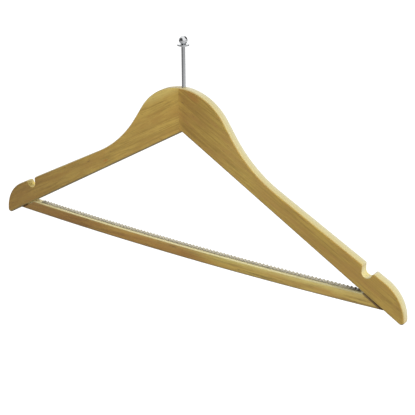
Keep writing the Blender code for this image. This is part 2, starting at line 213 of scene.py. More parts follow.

# Tints of the wood's own colours and of the shade painted on its lower edges, and the colours
# that only some of its zones have: highlights painted on the left dome and on the bar's upper
# part, and the shadow painted in the joints
STAIN_TINT = (1.0, 0.72, 0.60)
UNDER_SHADE_TINT = (0.38, 0.44, 0.60)
ARM_STREAK_TINT = (0.86, 0.86, 0.86)
BAR_STREAK_TINT = (0.62, 0.62, 0.62)
DOME_HIGHLIGHT = (0.60, 0.48, 0.150)
BAR_FACE_HIGHLIGHT = (0.57, 0.46, 0.185)
JOINT_SHADOW_BROWN = (0.085, 0.032, 0.001)

# Colours of the three boards. edge and rear are highlights painted on the upper edge, over its
# front half and its rear half, and notch is light painted on the wood down inside the strap
# notch. tones are the drift of colour from end to end, at places along X. Each stain is a
# place, a reach and a weight.
LEFT_WOOD = {
    "light": (0.475, 0.325, 0.073),
    "dark": (0.330, 0.209, 0.041),
    "warm": (0.390, 0.236, 0.050),
    "pore": (0.13, 0.065, 0.018),
    "edge": (0.35, 0.275, 0.090),
    "rear": (0.40, 0.34, 0.16),
    "notch": (0.64, 0.50, 0.150),
    "stains": [((-0.0888, -0.1219), (0.004, 0.0016), 0.8)],
    "tones": [
        (-0.223, (0.61, 0.54, 0.46)),
        (-0.15, (0.76, 0.72, 0.67)),
        (-0.12, (0.83, 0.80, 0.75)),
        (-0.08, (1.01, 1.0, 0.95)),
        (-0.03, (1.02, 1.0, 0.97)),
        (-0.009, (1.08, 1.05, 0.97)),
        (-0.001, (1.0, 0.95, 0.88)),
    ],
}
RIGHT_WOOD = {
    "light": (0.434, 0.298, 0.060),
    "dark": (0.308, 0.194, 0.035),
    "warm": (0.370, 0.222, 0.050),
    "pore": (0.12, 0.058, 0.016),
    "edge": (0.385, 0.340, 0.172),
    "rear": (0.405, 0.390, 0.290),
    "notch": (0.445, 0.385, 0.178),
    "stains": [((0.0135, -0.0432), (0.009, 0.0045), 0.55)],
    "tones": [
        (-0.0026, (1.04, 0.95, 0.86)),
        (0.003, (0.85, 0.76, 0.68)),
        (0.03, (0.94, 0.90, 0.86)),
        (0.055, (1.10, 1.12, 1.18)),
        (0.12, (0.99, 0.96, 0.88)),
        (0.223, (1.0, 0.96, 0.82)),
    ],
}
BAR_WOOD = {
    "light": (0.460, 0.320, 0.084),
    "dark": (0.320, 0.195, 0.044),
    "warm": (0.380, 0.215, 0.052),
    "pore": (0.045, 0.020, 0.005),
    "edge": (0.58, 0.530, 0.295),
    "rear": (0.56, 0.52, 0.33),
    "tones": [
        (-0.203, (0.60, 0.52, 0.44)),
        (-0.125, (0.61, 0.48, 0.34)),
        (-0.09, (0.74, 0.62, 0.46)),
        (-0.06, (0.91, 0.79, 0.59)),
        (0.0, (0.80, 0.66, 0.50)),
        (0.045, (1.09, 1.17, 0.92)),
        (0.14, (1.20, 1.28, 1.18)),
        (0.203, (1.02, 1.02, 0.86)),
    ],
}

# Strength of the shadow painted in the joints, along the bar
JOINT_SHADOW_STRENGTH = [(-0.203, 1.0), (-0.195, 1.0), (-0.190, 0.3), (0.182, 0.8), (0.203, 1.0)]

# Vinyl's two cloud colours, and its tones, darker towards the strip's ends
VINYL_DULL = (0.43, 0.395, 0.29)
VINYL_CLEAR = (0.61, 0.56, 0.43)
VINYL_TONES = [
    (-0.186, (0.08, 0.08, 0.07)),
    (-0.179, (0.35, 0.35, 0.33)),
    (-0.168, (1.0, 1.0, 1.0)),
    (0.166, (1.0, 1.0, 1.0)),
    (0.176, (0.30, 0.28, 0.25)),
    (0.186, (0.12, 0.11, 0.09)),
]
CLOUD_STRETCH = (420, 900, 900)
CLOUD_RANGE = (0.3, 0.75)
VINYL_ROUGHNESS = (0.22, 0.42)

# Chrome and zinc, and the smudges on both
CHROME_GREY = (0.62, 0.63, 0.64)
CHROME_ROUGHNESS = (0.05, 0.10)
ZINC_GREY = (0.58, 0.58, 0.56)
ZINC_ROUGHNESS = (0.28, 0.43)
SMUDGE_STRETCH = (900, 900, 3000)
SMUDGE_RANGE = (0.3, 0.8)
SMUDGE_TINT = (0.9, 0.9, 0.9)

# Studio. The floor's glow grows with the distance from its middle. The doorway, the screen
# and the floor's bright side lie in a direction, between two distances or cosines along it.
FLOOR_SIZE = 16.0
FLOOR_Z = -0.60
FLOOR_GREY = 0.40
FLOOR_GLOW = 0.74
FLOOR_GLOW_REACH = (0.8, 2.4)
FLOOR_BRIGHT_SIDE = (0.9, 0.2, 0)
FLOOR_BRIGHT_REACH = (-0.9, 1.3)
FLOOR_SHINE = 0.34
WORLD_LIGHT = 0.50
ROOM_LEVEL = 1.3
DOORWAY_SIDE = (-0.45, -0.85, 0.05)
DOORWAY_EDGE = (0.42, 0.76)
DOORWAY_LEVEL = 0.08
SCREEN_SIDE = (0.38, 0.78, 0.50)
SCREEN_EDGE = (0.80, 0.88)
SCREEN_LEVEL = 0.04

# Camera, worked out together with the hanger's outline in the photo
CAMERA_AZIMUTH = math.radians(34.50)
CAMERA_ELEVATION = math.radians(22.386)
CAMERA_ROLL = math.radians(-0.26)
CAMERA_TARGET = (0.024573, 0.0, -0.067766 + APEX_Z)
CAMERA_DISTANCE = 0.99037
SENSOR_WIDTH = 36.0
FOCAL_PIXELS = 1100.0
PHOTO_WIDTH = 415.0


# Node helpers

def new_material(name):
    material = bpy.data.materials.new(name)
    material.use_nodes = True
    tree = material.node_tree
    return material, tree, tree.nodes["Principled BSDF"]


def node(tree, kind, **settings):
    made = tree.nodes.new(kind)
    for name, value in settings.items():
        setattr(made, name, value)
    return made


def set_inputs(made, values):
    for name, value in values.items():
        made.inputs[name].default_value = value


def link(tree, source, target):
    tree.links.new(source, target)


def feed(tree, value, target):
    """Link a socket to an input, or set the input to a plain number or (r, g, b)."""
    if isinstance(value, tuple):
        target.default_value = (*value, 1.0)
    elif isinstance(value, float):
        target.default_value = value
    else:
        link(tree, value, target)


def maths(tree, operation, *values):
    """Math node fed with sockets and plain numbers."""
    made = node(tree, "ShaderNodeMath", operation=operation)
    for target, value in zip(made.inputs, values):
        feed(tree, value, target)
    return made.outputs[0]


def product(tree, first, second):
    return maths(tree, "MULTIPLY", first, second)


def vector_maths(tree, operation, vector, other=None):
    made = node(tree, "ShaderNodeVectorMath", operation=operation)
    link(tree, vector, made.inputs[0])
    if other is not None:
        made.inputs[1].default_value = other
    return made.outputs["Value" if operation in ("LENGTH", "DOT_PRODUCT") else "Vector"]


def coordinates(tree, output="Object"):
    return node(tree, "ShaderNodeTexCoord").outputs[output]


def mapped(tree, vector, values, vector_type="POINT"):
    made = node(tree, "ShaderNodeMapping", vector_type=vector_type)
    set_inputs(made, values)
    link(tree, vector, made.inputs["Vector"])
    return made.outputs["Vector"]


def noise(tree, vector, detail, roughness, distortion=0.0):
    made = node(tree, "ShaderNodeTexNoise")
    set_inputs(made, {"Scale": 1.0, "Detail": detail, "Roughness": roughness,
                      "Distortion": distortion})
    link(tree, vector, made.inputs["Vector"])
    return made.outputs["Fac"]


def remap(tree, factor, low, high, bottom=0.0, top=1.0):
    """Factor's range from low to high stretched to bottom to top, and clamped."""
    made = node(tree, "ShaderNodeMapRange")
    set_inputs(made, {"From Min": low, "From Max": high, "To Min": bottom, "To Max": top})
    link(tree, factor, made.inputs["Value"])
    return made.outputs["Result"]


def ramp(tree, factor, stops):
    made = node(tree, "ShaderNodeValToRGB")
    elements = made.color_ramp.elements
    while len(elements) < len(stops):
        elements.new(0.5)
    for element, (place, colour) in zip(elements, stops):
        element.position = place
        element.color = (*colour, 1.0)
    link(tree, factor, made.inputs["Fac"])
    return made.outputs["Color"]


def blend(tree, factor, below, above, mode="MIX"):
    """One colour over another, each of the three a socket or a plain value."""
    made = node(tree, "ShaderNodeMix", data_type="RGBA", blend_type=mode)
    colours = [socket for socket in made.inputs if socket.type == "RGBA"]
    feed(tree, factor, made.inputs["Factor"])
    feed(tree, below, colours[0])
    feed(tree, above, colours[1])
    return [socket for socket in made.outputs if socket.type == "RGBA"][0]


def layer(tree, colour, over, factor, low, high, weight):
    """Lay one colour over another where a factor rises from low to high, up to a weight."""
    return blend(tree, remap(tree, factor, low, high, 0.0, weight), colour, over)


def tinted(colour, factors):
    return tuple(level * factor for level, factor in zip(colour, factors))


# Masks, read from the object's own coordinates and normal

def parts(tree, output="Object", absolute=False):
    """X, Y and Z of a coordinate, or their sizes without signs."""
    source = coordinates(tree, output)
    if absolute:
        source = vector_maths(tree, "ABSOLUTE", source)
    separate = node(tree, "ShaderNodeSeparateXYZ")
    link(tree, source, separate.inputs[0])
    return separate.outputs


def slope_distance(tree, angle, through):
    """Distance above the mirrored pair of slopes that fall at angle from x = 0, z = through.

    The wood lies below z = 0, so its Z without sign is its depth."""
    place = parts(tree, absolute=True)
    sideways = maths(tree, "MULTIPLY_ADD", place["X"], math.sin(angle), -through * math.cos(angle))
    return maths(tree, "MULTIPLY_ADD", place["Z"], -math.cos(angle), sideways)


def below_bar_top(tree):
    """Depth under the bar's curved top."""
    place = parts(tree)
    square = product(tree, place["X"], place["X"])
    top = maths(tree, "MULTIPLY_ADD", square, BAR_CURVE, APEX_Z + bar_top(0.0))
    return maths(tree, "MULTIPLY_ADD", place["Z"], -1.0, top)


def tone_colour(tree, tones):
    """Colour drift along the board, read from the object's own X."""
    low, high = tones[0][0], tones[-1][0]
    along = remap(tree, parts(tree)["X"], low, high)
    return ramp(tree, along, [((x - low) / (high - low), colour) for x, colour in tones])


def stain_mask(tree, turn, place, reach):
    """1 in the middle of a long soft patch that follows the grain, 0 outside it."""
    moved = vector_maths(tree, "SUBTRACT", coordinates(tree), (place[0], 0.0, place[1]))
    shaped = mapped(tree, moved, {"Rotation": (0, -turn, 0), "Scale": (reach[0], 1.0, reach[1])},
                    vector_type="TEXTURE")
    return remap(tree, vector_maths(tree, "LENGTH", shaped), *STAIN_FADE, 1.0, 0.0)


def edge_highlight_masks(tree, edge):
    """Masks of the edges that face up or sideways, and of the same growing to their rear, where
    highlights are painted.
    """
    across = parts(tree, "Normal", absolute=True)["Y"]
    facing = parts(tree, "Normal")["Z"]
    upper = product(tree, remap(tree, across, *edge), remap(tree, facing, *FACES_UP))
    return upper, product(tree, upper, remap(tree, parts(tree)["Y"], *REAR_HALF))


def lower_edge_shade_mask(tree):
    """Mask of the edges that face down, where shade is painted."""
    across = parts(tree, "Normal", absolute=True)["Y"]
    facing = parts(tree, "Normal")["Z"]
    return product(tree, remap(tree, across, *SHADED_EDGE), remap(tree, facing, *FACES_DOWN))


def notch_light_mask(tree):
    """1 on the walls down inside the strap notches, where light is painted, 0 elsewhere."""
    sideways = parts(tree, absolute=True)["X"]
    aside = maths(tree, "ABSOLUTE", maths(tree, "MULTIPLY_ADD", sideways, 1.0, -NOTCH_X))
    height = slope_distance(tree, SHOULDER, APEX_Z + SHOULDER_RISE)
    across = parts(tree, "Normal", absolute=True)["Y"]
    inside = product(tree, remap(tree, aside, *NOTCH_NEAR), remap(tree, height, *NOTCH_DEEP))
    return product(tree, inside, remap(tree, across, *NOTCH_WALL))


# Clear-lacquered pale hardwood, from the growth of the wood to the lacquer over it

def grain_noises(tree, turn, seed):
    """The wood's noises by name, laid along a grain that is turned about Y."""
    offset = tuple(seed * step for step in SEED_STEP)
    noises = {}
    for name, (stretch, *settings) in GRAIN.items():
        along = mapped(tree, coordinates(tree), {"Rotation": (0, turn, 0), "Location": offset})
        noises[name] = noise(tree, mapped(tree, along, {"Scale": stretch}), *settings)
    return noises


def grown_wood(tree, grain, wood, streak_tint):
    """Light and dark growth, with deeper streaks and warm patches."""
    stops = list(zip(GROWTH_LEVELS, (wood["dark"], wood["light"])))
    colour = ramp(tree, grain["growth"], stops)
    colour = layer(tree, colour, tinted(wood["dark"], streak_tint), grain["streak"], *STREAK_LAYER)
    colour = layer(tree, colour, wood["warm"], grain["drift"], *DRIFT_LAYER)
    return layer(tree, colour, wood["warm"], grain["patch"], *PATCH_LAYER)


def stained_wood(tree, colour, turn, wood):
    """Long soft stains of a deeper warm colour."""
    stain = tinted(wood["warm"], STAIN_TINT)
    for place, reach, weight in wood["stains"]:
        mask = product(tree, stain_mask(tree, turn, place, reach), weight)
        colour = blend(tree, mask, colour, stain)
    return colour


def painted_bar_highlight(tree, colour, grain):
    """Highlight painted on the bar's upper part, more of it towards the right, patchy with the
    growth of the wood.
    """
    along = remap(tree, parts(tree)["X"], *BAR_HIGHLIGHT_ALONG)
    zone = product(tree, remap(tree, below_bar_top(tree), *BAR_HIGHLIGHT_DEPTH), along)
    highlight = product(tree, zone, remap(tree, grain["growth"], *BAR_HIGHLIGHT_GROWTH))
    return blend(tree, highlight, colour, BAR_FACE_HIGHLIGHT)


def marked_wood(tree, colour, grain, wood):
    """The board's drift of tones, then its fibres, flecks and pores."""
    colour = blend(tree, 1.0, colour, tone_colour(tree, wood["tones"]), "MULTIPLY")
    colour = layer(tree, colour, wood["dark"], grain["fibre"], *FIBRE_LAYER)
    colour = layer(tree, colour, wood["pore"], grain["flecks"], *FLECK_LAYER)
    return layer(tree, colour, wood["pore"], grain["pores"], *PORE_LAYER)


# Shade painted on the edges that face down.
def painted_lower_edge_shade(tree, colour, wood, weight):
    shade = tinted(wood["dark"], UNDER_SHADE_TINT)
    return blend(tree, product(tree, lower_edge_shade_mask(tree), weight), colour, shade)


# Highlights painted on the upper edges, in a second colour towards the rear.
def painted_edge_highlights(tree, colour, wood, edge):
    upper, rear = edge_highlight_masks(tree, edge)
    for mask, highlight in ((upper, wood["edge"]), (rear, wood["rear"])):
        colour = blend(tree, product(tree, mask, EDGE_HIGHLIGHT_WEIGHT), colour, highlight)
    return colour


def painted_joint_shadow(tree, colour):
    """Brown lines of painted shadow where the bar meets the arms."""
    start, full, weight = JOINT_SHADOW_LAYER
    line = remap(tree, slope_distance(tree, UNDERSIDE, APEX_Z), start, full, 0.0, weight)
    along = tone_colour(tree, [(x, (level, level, level)) for x, level in JOINT_SHADOW_STRENGTH])
    return blend(tree, product(tree, line, along), colour, JOINT_SHADOW_BROWN)


def lacquer(tree, shader, colour, grain):
    """Satin clear coat, with the fibres and pores just felt through it."""
    link(tree, colour, shader.inputs["Base Color"])
    rough = remap(tree, grain["fibre"], *FIBRE_RANGE, *LACQUER_ROUGHNESS)
    link(tree, rough, shader.inputs["Roughness"])
    set_inputs(shader, {"Coat Weight": 0.45, "Coat Roughness": 0.16, "IOR": 1.5,
                        "Specular IOR Level": 0.35})
    bump = node(tree, "ShaderNodeBump")
    set_inputs(bump, {"Strength": 0.12, "Distance": 0.0003})
    height = maths(tree, "MULTIPLY_ADD", grain["pores"], PORE_BUMP, grain["fibre"])
    link(tree, height, bump.inputs["Height"])
    link(tree, bump.outputs["Normal"], shader.inputs["Normal"])


def arm_lacquer(name, turn, seed, wood, dome_highlight=False):
    """Wood of an arm. Its last argument adds a painted highlight, a pale zone on the outer side of
    the neck.
    """
    material, tree, shader = new_material(name)
    grain = grain_noises(tree, turn, seed)
    colour = grown_wood(tree, grain, wood, ARM_STREAK_TINT)
    colour = stained_wood(tree, colour, turn, wood)
    # Highlight painted on the upper part of the left dome.
    if dome_highlight:
        height = slope_distance(tree, SHOULDER, APEX_Z)
        colour = layer(tree, colour, DOME_HIGHLIGHT, height, *DOME_HIGHLIGHT_LAYER)
    colour = marked_wood(tree, colour, grain, wood)
    colour = painted_lower_edge_shade(tree, colour, wood, ARM_EDGE_SHADE_WEIGHT)
    colour = painted_edge_highlights(tree, colour, wood, ARM_HIGHLIGHT_EDGE)
    # Light painted on the wood down inside the strap notches.
    colour = blend(tree, notch_light_mask(tree), colour, wood["notch"])
    lacquer(tree, shader, colour, grain)
    return material


def bar_lacquer(name, seed, wood):
    """Wood of the trouser bar, with shade painted along its foot and shadow painted where its ends
    meet the arms.
    """
    material, tree, shader = new_material(name)
    grain = grain_noises(tree, 0.0, seed)
    colour = grown_wood(tree, grain, wood, BAR_STREAK_TINT)
    # Highlight painted on the bar's upper part.
    colour = painted_bar_highlight(tree, colour, grain)
    colour = marked_wood(tree, colour, grain, wood)
    colour = painted_lower_edge_shade(tree, colour, wood, BAR_EDGE_SHADE_WEIGHT)
    # Shade painted along the bar's foot.
    shade = tinted(wood["dark"], UNDER_SHADE_TINT)
    colour = layer(tree, colour, shade, below_bar_top(tree), *BAR_FOOT_SHADE_LAYER)
    colour = painted_edge_highlights(tree, colour, wood, BAR_HIGHLIGHT_EDGE)
    # Shadow painted where the bar's ends meet the arms.
    colour = painted_joint_shadow(tree, colour)
    lacquer(tree, shader, colour, grain)
    return material


# Metal and vinyl

def plated_metal(name, colour, roughness):
    """Plated steel with faint smudges in its tint and its gloss."""
    material, tree, shader = new_material(name)
    shader.inputs["Metallic"].default_value = 1.0
    smudge = noise(tree, mapped(tree, coordinates(tree), {"Scale": SMUDGE_STRETCH}),
                   detail=3.0, roughness=0.6)
    tint = ramp(tree, smudge, [(0.35, colour), (0.75, tinted(colour, SMUDGE_TINT))])
    link(tree, tint, shader.inputs["Base Color"])
    link(tree, remap(tree, smudge, *SMUDGE_RANGE, *roughness), shader.inputs["Roughness"])
    return material


def clear_vinyl(name):
    """Soft greyish clear vinyl, clouded."""
    material, tree, shader = new_material(name)
    cloud = noise(tree, mapped(tree, coordinates(tree), {"Scale": CLOUD_STRETCH}),
                  detail=3.0, roughness=0.6)
    tint = ramp(tree, cloud, [(0.3, VINYL_DULL), (0.7, VINYL_CLEAR)])
    tint = blend(tree, 1.0, tint, tone_colour(tree, VINYL_TONES), "MULTIPLY")
    link(tree, tint, shader.inputs["Base Color"])
    link(tree, remap(tree, cloud, *CLOUD_RANGE, *VINYL_ROUGHNESS), shader.inputs["Roughness"])
    set_inputs(shader, {"Transmission Weight": 0.45, "IOR": 1.53})
    return material


# Outlines in the hanger's plane

def between(start, end, count):
    return [start + (end - start) * i / count for i in range(count + 1)]


def arc_points(centre, radius, start, end):
    """Points of an arc about a centre between two angles."""
    steps = max(3, math.ceil(abs(end - start) / ARC_STEP))
    return [(centre[0] + radius * math.cos(angle), centre[1] + radius * math.sin(angle))
            for angle in between(start, end, steps)]


def corner_points(before, corner, after, radius):
    """Points of the arc that rounds one corner, in the order of travel."""
    ax, az = before[0] - corner[0], before[1] - corner[1]
    bx, bz = after[0] - corner[0], after[1] - corner[1]
    length_a, length_b = math.hypot(ax, az), math.hypot(bx, bz)
    ax, az, bx, bz = ax / length_a, az / length_a, bx / length_b, bz / length_b
    inside = math.acos(ax * bx + az * bz)
    reach = radius / math.tan(inside / 2)
    length = math.hypot(ax + bx, az + bz)
    cx = corner[0] + (ax + bx) / length * radius / math.sin(inside / 2)
    cz = corner[1] + (az + bz) / length * radius / math.sin(inside / 2)
    start = math.atan2(corner[1] + az * reach - cz, corner[0] + ax * reach - cx)
    end = math.atan2(corner[1] + bz * reach - cz, corner[0] + bx * reach - cx)
    turn = (end - start + math.pi) % (2 * math.pi) - math.pi
    return arc_points((cx, cz), radius, start, start + turn)


def line_crossing(height_a, slope_a, height_b, slope_b):
    """Where two lines z = height - slope * x cross."""
    x = (height_a - height_b) / (slope_a - slope_b)
    return x, height_a - slope_a * x


def shoulder_height(x):
    return SHOULDER_RISE - math.tan(SHOULDER) * abs(x)


def tip_outline():
    """Right arm's end: the tip's arc off the shoulder line, then the toe's off the underside."""
    tip_x = HALF_SPAN - TIP_RADIUS
    tip_z = shoulder_height(tip_x) - TIP_RADIUS / math.cos(SHOULDER)
    slope = math.tan(UNDERSIDE)
    rise = TOE_RADIUS / math.cos(UNDERSIDE)
    square = 1 + slope ** 2
    half = tip_x + slope * (rise - tip_z)
    rest = tip_x ** 2 + (rise - tip_z) ** 2 - (TIP_RADIUS - TOE_RADIUS) ** 2
    toe_x = (half + math.sqrt(half ** 2 - square * rest)) / square
    toe_z = rise - slope * toe_x
    meeting = math.atan2(toe_z - tip_z, toe_x - tip_x)
    tip = arc_points((tip_x, tip_z), TIP_RADIUS, math.pi / 2 - SHOULDER, meeting)
    toe = arc_points((toe_x, toe_z), TOE_RADIUS, meeting, -math.pi / 2 - UNDERSIDE)
    return tip + toe[1:]


def frame_outline():
    """Whole wooden body, clockwise from the dome's left side, with the inner apex at (0, 0)."""
    vertex = NECK_HEIGHT - DOME_RADIUS + DOME_RADIUS / math.cos(FLANK)
    sweep = line_crossing(vertex, math.tan(FLANK), SHOULDER_RISE, math.tan(SHOULDER))
    dome = corner_points((-sweep[0], sweep[1]), (0.0, vertex), sweep, DOME_RADIUS)
    tip = tip_outline()
    right = corner_points((0.0, vertex), sweep, tip[0], SWEEP_RADIUS) + tip
    return dome + right + [(0.0, 0.0)] + [(-x, z) for x, z in reversed(right)]


def rim_height(x):
    """Line that the rims' arcs end on, just clear of the wood they cut."""
    return shoulder_height(x) + RIM_LIFT


def outer_rim_points(centre, half):
    """Rim's arc from the notch's round bottom to the shoulder, and the angle where they meet."""
    radius = NOTCH_OUTER_RIM
    slope = math.tan(SHOULDER)
    level = rim_height(centre[0]) - radius / math.cos(SHOULDER) - centre[1]
    square = 1 + slope ** 2
    rest = level ** 2 - (half + radius) ** 2
    run = (slope * level + math.sqrt((slope * level) ** 2 - square * rest)) / square
    drop = level - slope * run
    meeting = math.atan2(drop, run)
    rim_centre = (centre[0] + run, centre[1] + drop)
    return arc_points(rim_centre, radius, math.pi + meeting, math.pi / 2 - SHOULDER), meeting


def notch_outline(side):
    """Slot with a round bottom and rounded rims, the lower one running into the bottom."""
    half = NOTCH_WIDTH / 2
    centre = (NOTCH_X, shoulder_height(NOTCH_X) - NOTCH_DEPTH + half)
    wall, beyond = centre[0] - half, centre[0] - half - NOTCH_WIDTH
    inner_rim = corner_points((wall, centre[1]), (wall, rim_height(wall)),
                              (beyond, rim_height(beyond)), NOTCH_INNER_RIM)
    outer_rim, meeting = outer_rim_points(centre, half)
    bottom = arc_points(centre, half, math.pi, 2 * math.pi + meeting)
    top = shoulder_height(beyond) + MARGIN
    mouth = [(outer_rim[-1][0], top), (inner_rim[-1][0], top)]
    points = bottom + outer_rim[1:] + mouth + inner_rim[::-1]
    return [(side * x, z) for x, z in points]


def offset_outline(points, distance):
    """Outline moved outwards, point by point."""
    moved = []
    area = sum(a[0] * b[1] - b[0] * a[1] for a, b in zip(points, points[1:] + points[:1]))
    way = math.copysign(distance, area)
    for i, (x, z) in enumerate(points):
        before, after = points[i - 1], points[(i + 1) % len(points)]
        dx, dz = after[0] - before[0], after[1] - before[1]
        length = math.hypot(dx, dz)
        moved.append((x + way * dz / length, z - way * dx / length))
    return moved


def comb_outline(side):
    """Stepped cutter, seen from above, that leaves only the arm on one side.

    From front to back the fingers belong to the right and the left arm in turn."""
    half = BOARD / 2
    core_edge = half - CHEEK
    reaches = [(FINGER if owner == side else -FINGER) - GLUE_GAP / 2 for owner in (1, -1, 1, -1)]
    far = 2 * HALF_SPAN
    points = [(far, -half - MARGIN), (reaches[0], -half - MARGIN)]
    for i, y in enumerate((-core_edge, 0.0, core_edge)):
        wider = GLUE_GAP / 2 if reaches[i] < reaches[i + 1] else -GLUE_GAP / 2
        points += [(reaches[i], y + wider), (reaches[i + 1], y + wider)]
    points += [(reaches[-1], half + MARGIN), (far, half + MARGIN)]
    return [(-side * u, y) for u, y in points]


def bar_top(x):
    """Height of the bar's top face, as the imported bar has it."""
    foot_end = -math.tan(UNDERSIDE) * BAR_FOOT - FIT_GAP / math.cos(UNDERSIDE)
    return foot_end + BAR_HEIGHT + BAR_CURVE * (x ** 2 - BAR_FOOT ** 2)


def top_end_x():
    """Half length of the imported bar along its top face."""
    slope = math.tan(UNDERSIDE)
    level = bar_top(0.0) + FIT_GAP / math.cos(UNDERSIDE)
    return -2 * level / (slope + math.sqrt(slope ** 2 - 4 * BAR_CURVE * level))


def band_outline(start, end, low, high):
    """Strip of the bar's bowed length between two heights above its top face."""
    upper = [(x, bar_top(x) + high) for x in between(start, end, BAR_STATIONS)]
    return upper + [(x, bar_top(x) + low) for x in between(end, start, BAR_STATIONS)]


def bar_outline():
    """Side view of the bar, its mitred ends almost touching the arms."""
    closer = (FIT_GAP - GLUE_GAP) / math.sin(UNDERSIDE)
    top_end, foot_end = top_end_x() + closer, BAR_FOOT + closer
    top = [(x, bar_top(x)) for x in between(-top_end, top_end, BAR_STATIONS)]
    foot = [(x, bar_top(x) - BAR_HEIGHT) for x in between(foot_end, -foot_end, BAR_STATIONS)]
    return top + foot


def grip_outline(start, end):
    """Base of the strip, seated on the bar, with one round-shouldered rib after another."""
    count = int((end - start - GRIP_FOOT) / GRIP_PITCH)
    first = (start + end - count * GRIP_PITCH) / 2
    base = FIT_GAP + GRIP_BASE
    crest = base + GRIP_RIB
    half = GRIP_CREST / 2
    falling = [(half - RIB_ROUND, crest), (half - 0.3 * RIB_ROUND, crest - 0.3 * RIB_ROUND),
               (half + 0.25 * RIB_ROUND, crest - RIB_ROUND), (GRIP_FOOT / 2, base)]
    rib = [(-dx, height) for dx, height in reversed(falling)] + falling
    top = []
    for i in range(count + 1):
        middle = first + i * GRIP_PITCH
        top += [(middle + dx, bar_top(middle + dx) + height) for dx, height in rib]
    under = [(x, bar_top(x) + GLUE_GAP) for x in between(end, start, BAR_STATIONS)]
    return [(start, bar_top(start) + base)] + top + [(end, bar_top(end) + base)] + under


# Solids

def linked_object(name, bm):
    mesh = bpy.data.meshes.new(name)
    bm.to_mesh(mesh)
    bm.free()
    obj = bpy.data.objects.new(name, mesh)
    bpy.context.scene.collection.objects.link(obj)
    return obj


def add_walls(bm, near, far):
    """Quads all round between two rings of as many points."""
    for i in range(len(near)):
        j = (i + 1) % len(near)
        bm.faces.new((near[j], near[i], far[i], far[j]))


def mark_rims(bm, rings):
    """Give the edges round the two caps the bevel's weight."""
    weight = bm.edges.layers.float.new("bevel_weight_edge")
    for loop in rings:
        ring = set(loop)
        for vert in loop:
            for edge in vert.link_edges:
                if edge.other_vert(vert) in ring:
                    edge[weight] = 1.0


def prism(name, points, depth, centre_z, upright=True):
    """Closed prism on an outline: in the hanger's plane, or upright=False seen from above."""
    bm = bmesh.new()
    near, far = [], []
    for u, v in points:
        if upright:
            near.append(bm.verts.new((u, -depth / 2, v + centre_z)))
            far.append(bm.verts.new((u, depth / 2, v + centre_z)))
        else:
            near.append(bm.verts.new((u, v, centre_z - depth / 2)))
            far.append(bm.verts.new((u, v, centre_z + depth / 2)))
    bm.faces.new(near)
    bm.faces.new(far[::-1])
    add_walls(bm, near, far)
    bmesh.ops.recalc_face_normals(bm, faces=bm.faces)
    if bm.calc_volume(signed=True) < 0.0:
        bmesh.ops.reverse_faces(bm, faces=bm.faces)
    mark_rims(bm, (near, far))
    return linked_object(name, bm)


def flared_cutter(name, points, flare):
    """Cutter through the board that widens by flare in a quarter round at both faces."""
    half = BOARD / 2
    rounds = [(half - flare * (1 - math.sin(angle)), flare * (1 - math.cos(angle)))
              for angle in between(0.0, math.pi / 2, FLARE_STEPS)]
    rounds.append((half + MARGIN, flare))
    levels = [(-y, wider) for y, wider in reversed(rounds)] + rounds
    bm = bmesh.new()
    rings = [[bm.verts.new((x, y, z + APEX_Z)) for x, z in offset_outline(points, wider)]
             for y, wider in levels]
    bm.faces.new(rings[0])
    bm.faces.new(rings[-1][::-1])
    for near, far in zip(rings, rings[1:]):
        add_walls(bm, near, far)
    bmesh.ops.recalc_face_normals(bm, faces=bm.faces)
    return linked_object(name, bm)


def turned(name, profile, centre=(0.0, 0.0, 0.0), closed=False):
    """Surface turned about an upright axis from a profile of (radius, z) run downwards."""
    bm = bmesh.new()
    angles = [2 * math.pi * i / TURNED_STEPS for i in range(TURNED_STEPS)]
    rings = []
    for radius, z in profile:
        around = angles if radius > 0.0 else angles[:1]
        rings.append([bm.verts.new((centre[0] + radius * math.cos(angle),
                                    centre[1] + radius * math.sin(angle), centre[2] + z))
                      for angle in around])
    following = rings[1:] + rings[:1] if closed else rings[1:]
    for upper, lower in zip(rings, following):
        for i in range(TURNED_STEPS):
            j = (i + 1) % TURNED_STEPS
            quad = [upper[i % len(upper)], lower[i % len(lower)],
                    lower[j % len(lower)], upper[j % len(upper)]]
            face = list(dict.fromkeys(quad))
            if len(face) > 2:
                bm.faces.new(face)
    bmesh.ops.recalc_face_normals(bm, faces=bm.faces)
    return linked_object(name, bm)


def round_cutter(name, radius, bottom, top):
    """Cylinder about the pin's axis between two heights above the inner apex."""
    profile = [(0.0, top), (radius, top), (radius, bottom), (0.0, bottom)]
    return turned(name, profile, centre=(0.0, 0.0, APEX_Z))


def round_rims(obj, width):
    bevel = obj.modifiers.new("Round rims", "BEVEL")
    bevel.width = width
    bevel.segments = BEVEL_SEGMENTS
    bevel.limit_method = "WEIGHT"
    bevel.use_clamp_overlap = False


def boolean(obj, other, operation="DIFFERENCE"):
    step = obj.modifiers.new(operation.title(), "BOOLEAN")
    step.operation = operation
    step.object = other
    step.solver = "EXACT"


def settle(obj, sharp):
    """Apply the modifiers and shade the result smooth where edges are flatter than sharp."""
    bpy.context.view_layer.update()
    evaluated = obj.evaluated_get(bpy.context.evaluated_depsgraph_get())
    mesh = bpy.data.meshes.new_from_object(evaluated)
    mesh.name = obj.name
    obj.modifiers.clear()
    obj.data = mesh
    mesh.shade_smooth()
    mesh.set_sharp_from_angle(angle=sharp)
    flat = obj.modifiers.new("Weighted normals", "WEIGHTED_NORMAL")
    flat.keep_sharp = True
    flat.weight = 80


def discard(*objects):
    for obj in objects:
        bpy.data.objects.remove(obj, do_unlink=True)


def cut(obj, cutters, sharp):
    """Take the cutters out of a solid and settle it, then remove them."""
    for cutter in cutters:
        boolean(obj, cutter)
    settle(obj, sharp)
    discard(*cutters)


def dress(obj, body, material, replaced):
    obj.data.materials.clear()
    obj.data.materials.append(material)
    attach(obj, body)
    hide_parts(replaced)


# Pieces. A side is -1 on the left and 1 on the right.

def sided(side, name):
    return ("left_" if side < 0 else "right_") + name


def screw_foot(side):
    """Middle of a bar screw's flat head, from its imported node's box."""
    low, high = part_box(sided(side, "bar_screw"))
    return (low.x + high.x) / 2, 0.0, low.z


